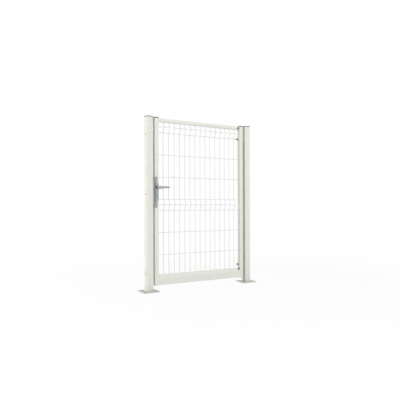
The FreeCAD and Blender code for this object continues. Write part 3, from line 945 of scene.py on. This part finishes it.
@dataclass
class Lock:
    """The lock: plates, cases, cylinder, forend, levers and the keep."""

    x: float = -995.0
    left: float = -1010.0
    front: float = -22.0
    back: float = 18.0
    plate: float = 3.0
    plate_width: float = 26.0
    plate_z: tuple[float, float] = (745.0, 1026.0)
    plate_corners: tuple[float, int] = (13.0, 7)
    plate_rim: tuple[float, int] = (0.8, 4)
    case: float = 14.0
    case_width: float = 30.0
    case_z: tuple[float, float] = (803.0, 968.0)
    case_corners: tuple[float, int] = (8.0, 7)
    case_rim: tuple[float, int] = (3.5, 4)
    screw_in: float = 27.0
    plate_screw: SocketScrew = field(default_factory=lambda: SocketScrew(6.0, 2.2))
    gap_screw: SocketScrew = field(default_factory=lambda: SocketScrew(4.5, 0.4))
    forend: float = 2.0
    forend_screws: tuple[float, ...] = (803.0, 845.0, 977.0)
    keep_face: float = -1027.0
    keep_screws: tuple[float, ...] = (793.0, 860.0, 940.0, 987.0)
    cylinder: float = 857.0
    proud: float = 3.0
    plug_r: float = 6.6
    plug_proud: float = 0.5
    plug_round: tuple[float, int] = (0.3, 1)
    keyway_proud: float = 0.6
    # The keyway's slot and ward as painted shade: left, low, right and high, from the cylinder's axis.
    keyway: tuple[tuple[float, float, float, float], ...] = ((-0.9, -4.5, 0.9, 4.0), (0.9, -1.5, 1.7, 0.5))
    spindle: float = 929.0
    lever_gap: float = 0.3
    swept: SweptLever = field(default_factory=SweptLever)
    lever_smooth_deg: float = 50.0
    # The radius of the collar and of the rose, and how far each stands out from the case.
    collar: tuple[float, float] = (9.9, 13.0)
    rose: tuple[float, float] = (14.2, 5.0)
    collar_round: tuple[float, int] = (1.2, 3)

    def build(self) -> None:
        """Builds both sides of the lock."""
        PAINTS.dress(STAINLESS, "lock_forend", "latch_keep")
        PAINTS.dress(NICKEL, "lock_cylinder", "lever_spindle")
        self.gap_screws()
        for place, face, out in (("front", self.front, -1), ("rear", self.back, 1)):
            bm = bmesh.new()
            self.slab(bm, (face + out * self.plate, out * self.case), self.case_width, self.case_z,
                      self.case_corners, self.case_rim)
            deliver(bm, place + "_lock_cover", CASTING, Body.LEAF, (place + "_lock_case",))
            bm = bmesh.new()
            self.slab(bm, (face, out * self.plate), self.plate_width, self.plate_z, self.plate_corners,
                      self.plate_rim)
            deliver(bm, place + "_rounded_plate", STAINLESS, Body.LEAF, (place + "_lock_plate",))
            self.screws(place, face, out)
            self.key_plug(place, face, out)
            self.lever(place, face, out)

    def slab(self, bm: bmesh.types.BMesh, depth: tuple[float, float], width: float, levels: tuple[float, float],
             corners: tuple[float, int], rim: tuple[float, int]) -> None:
        """Adds a plate or a cover with rounded corners and a rounded outer rim.

        Args:
            bm: The mesh, which is still empty.
            depth: Where it starts in Y, and how far it goes from there, with its sign.
            width: From the leaf's left edge.
            levels: Its lower and upper end.
            corners: The radius of its corners, and how many steps round they have.
            rim: The same for its outer rim.
        """
        near, far = sorted((depth[0], sum(depth)))
        rounded_box(bm, (self.left, near, levels[0]), (self.left + width, far, levels[1]),
                    Y * math.copysign(1, depth[1]), corners, rim)

    def screws(self, place: str, face: float, out: int) -> None:
        """Sets the socket screws at both ends of one plate.

        Args:
            place: Front or rear.
            face: The stile's face in Y.
            out: 1 where that face looks towards +Y, -1 towards -Y.
        """
        bm = bmesh.new()
        x = self.left + self.plate_width / 2
        for z in (self.plate_z[0] + self.screw_in, self.plate_z[1] - self.screw_in):
            self.plate_screw.fit(bm, (x, face + out * self.plate, z), Y * out)
        deliver(bm, place + "_plate_screws", NICKEL, Body.LEAF)

    def gap_screws(self) -> None:
        """Sets the countersunk screws of the forend and of the keep, which face each other in the gap."""
        y = (self.front + self.back) / 2
        for name, x, out, levels, body in (
                ("forend_screws", self.left - self.forend, -X, self.forend_screws, Body.LEAF),
                ("keep_screws", self.keep_face, X, self.keep_screws, Body.FIXED)):
            bm = bmesh.new()
            for z in levels:
                self.gap_screw.fit(bm, (x, y, z), out)
            deliver(bm, name, NICKEL, body)

    def key_plug(self, place: str, face: float, out: int) -> None:
        """Adds the round key plug to one end of the cylinder, and its keyway as a dark patch of painted shade.

        Args:
            place: Front or rear.
            face: The stile's face in Y.
            out: 1 where that face looks towards +Y, -1 towards -Y.
        """
        x, z = self.x, self.cylinder
        end = face + out * (self.plate + self.case + self.proud)
        bm = bmesh.new()
        plug = rod(bm, (x, end - out * SUNK, z), (x, end + out * self.plug_proud, z), self.plug_r, ROUND)
        soften(bm, list(outermost(plug, Y * out).edges), *self.plug_round)
        deliver(bm, place + "_key_plug", NICKEL, Body.LEAF)
        # The keyway isn't cut: thin blackened blocks stand on the plug's face as painted shade of its slot.
        bm = bmesh.new()
        near, far = sorted((end, end + out * self.keyway_proud))
        for left, low, right, high in self.keyway:
            block(bm, (x + left, near, z + low), (x + right, far, z + high))
        deliver(bm, place + "_keyway_painted_shade", BLACKENED_AND_KEYWAY_SHADE, Body.LEAF)

    def lever(self, place: str, face: float, out: int) -> None:
        """Makes one lever, and the black collar and rose round its neck, whose black is partly painted shade.

        Args:
            place: Front or rear.
            face: The stile's face in Y.
            out: 1 where that face looks towards +Y, -1 towards -Y.
        """
        case = face + out * (self.plate + self.case)
        foot = (self.x, case + out * self.lever_gap, self.spindle)
        bm = bmesh.new()
        self.swept.sweep(bm, foot, out)
        deliver(bm, place + "_swept_lever", ANODISED, Body.LEVER, (place + "_lever",), self.lever_smooth_deg)
        # The collar and rose are real parts, and their black also paints the shade round the neck.
        bm = bmesh.new()
        for radius, height in (self.collar, self.rose):
            disc = rod(bm, foot, (self.x, case + out * height, self.spindle), radius, ROUND)
            soften(bm, sharp(disc), *self.collar_round)
        deliver(bm, place + "_lever_collar_and_neck_shade", DARK_PLASTIC_AND_NECK_SHADE, Body.LEVER)


@dataclass(frozen=True)
class Lamp:
    """A soft square lamp, which gloss doesn't show."""

    name: str
    place_m: Point
    side_m: float
    watts: float
    tint: Point = (1.0, 1.0, 1.0)

    def hang(self, aim: Vector) -> None:
        """Hangs the lamp.

        Args:
            aim: Where it points, in metres.
        """
        light = bpy.data.lights.new(self.name, "AREA")
        light.size, light.energy, light.color = self.side_m, self.watts, self.tint
        lamp = bpy.data.objects.new(self.name, light)
        bpy.context.scene.collection.objects.link(lamp)
        lamp.location = self.place_m
        lamp.rotation_euler = (aim - Vector(self.place_m)).to_track_quat("-Z", "Y").to_euler()
        lamp.visible_glossy = False


@dataclass(frozen=True)
class Studio:
    """White studio, soft light and the photograph's camera."""

    camera_at_m: Point = (-2.6952, -3.7097, 0.7461)
    turn_deg: Point = (90.0726, 0.1769, -30.2385)
    lens_mm: float = 40.864
    sensor_mm: float = 36.0
    rise: float = 0.01774
    sky: float = 0.2
    sky_tint: tuple[float, ...] = (1.0, 1.0, 0.99, 1.0)
    white: tuple[float, ...] = (1.0, 1.0, 1.0, 1.0)
    paper: tuple[float, ...] = (0.8, 0.8, 0.8, 1.0)
    floor_m: float = 40.0
    plain_mm: tuple[float, float] = (1200.0, 3200.0)
    floor_glow: float = 0.92
    aim_m: Point = (-0.53, 0.0, 0.7)
    lamps: tuple[Lamp, ...] = (Lamp("front_softbox", (0.0, -6.6, 3.5), 2.0, 268),
                               Lamp("rear_softbox", (0.4, 6.6, 3.2), 2.0, 130),
                               Lamp("left_softbox", (-6.0, 0.8, 2.4), 2.0, 190, (1.0, 0.955, 0.9)),
                               Lamp("overhead_softbox", (-0.5, -0.4, 5.0), 3.0, 75))

    def build(self) -> None:
        """Sets floor, world, lamps and camera."""
        self.floor()
        self.world()
        for lamp in self.lamps:
            lamp.hang(Vector(self.aim_m))
        self.camera()

    def background(self, tree: bpy.types.NodeTree) -> bpy.types.NodeSocket:
        """Tells where the plain white background is seen, straight, in gloss or through glass.

        Args:
            tree: The nodes that ask.

        Returns:
            A socket that is 1 there and 0 elsewhere.
        """
        path = add(tree, "LightPath").outputs
        seen = add(tree, "Math", {"operation": "MAXIMUM"}, {0: path["Is Camera Ray"], 1: path["Is Glossy Ray"]})
        both = add(tree, "Math", {"operation": "MAXIMUM"}, {0: seen.outputs[0], 1: path["Is Transmission Ray"]})
        return both.outputs[0]

    def floor(self) -> None:
        """Lays the white floor, which keeps a soft shadow near the gate and is plain white far off."""
        bm = bmesh.new()
        bmesh.ops.create_grid(bm, x_segments=1, y_segments=1, size=self.floor_m)
        mesh = bpy.data.meshes.new("studio_floor")
        bm.to_mesh(mesh)
        bm.free()
        floor = bpy.data.objects.new("studio_floor", mesh)
        bpy.context.scene.collection.objects.link(floor)
        material = bpy.data.materials.new("white_studio_floor")
        material.use_nodes = True
        tree = material.node_tree
        tree.nodes.clear()
        paper = add(tree, "BsdfDiffuse", {"Color": self.paper})
        glow = add(tree, "Emission", {"Color": self.white, "Strength": 1.0})
        place = add(tree, "TexCoord").outputs["Object"]
        away = add(tree, "VectorMath", {"operation": "LENGTH"}, {0: place})
        fade = add(tree, "MapRange", {"From Min": mm(self.plain_mm[0]), "From Max": mm(self.plain_mm[1]),
                                      "To Min": self.floor_glow, "To Max": 1.0}, {"Value": away.outputs["Value"]})
        part = add(tree, "Math", {"operation": "MULTIPLY"}, {0: self.background(tree), 1: fade.outputs[0]})
        mix = add(tree, "MixShader", None, {0: part.outputs[0], 1: paper.outputs[0], 2: glow.outputs[0]})
        add(tree, "OutputMaterial", None, {"Surface": mix.outputs[0]})
        mesh.materials.append(material)

    def world(self) -> None:
        """Lights everything evenly from a pale sky, seen as plain white."""
        world = bpy.data.worlds.new("studio_sky")
        bpy.context.scene.world = world
        world.use_nodes = True
        tree = world.node_tree
        tree.nodes.clear()
        light = add(tree, "Background", {"Color": self.sky_tint, "Strength": self.sky})
        white = add(tree, "Background", {"Color": self.white, "Strength": 1.0})
        mix = add(tree, "MixShader", None, {0: self.background(tree), 1: light.outputs[0], 2: white.outputs[0]})
        add(tree, "OutputWorld", None, {"Surface": mix.outputs[0]})

    def camera(self) -> None:
        """Puts the camera where the photograph's stood."""
        lens = bpy.data.cameras.new("photo_camera")
        lens.sensor_width, lens.lens, lens.shift_y = self.sensor_mm, self.lens_mm, self.rise
        camera = bpy.data.objects.new("photo_camera", lens)
        bpy.context.scene.collection.objects.link(camera)
        camera.location = self.camera_at_m
        camera.rotation_euler = [math.radians(turn) for turn in self.turn_deg]
        bpy.context.scene.camera = camera
        bpy.context.scene.view_settings.view_transform = "Standard"


def main() -> None:
    """Builds every sub-assembly and the studio."""
    logging.basicConfig(level=logging.INFO, format="%(message)s")
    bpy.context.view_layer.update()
    for assembly in (Posts(), LeafFrame(), WirePanel(), Hinges(), Lock(), Studio()):
        LOG.info("building %s", type(assembly).__name__)
        assembly.build()


if __name__ == "__main__":
    main()
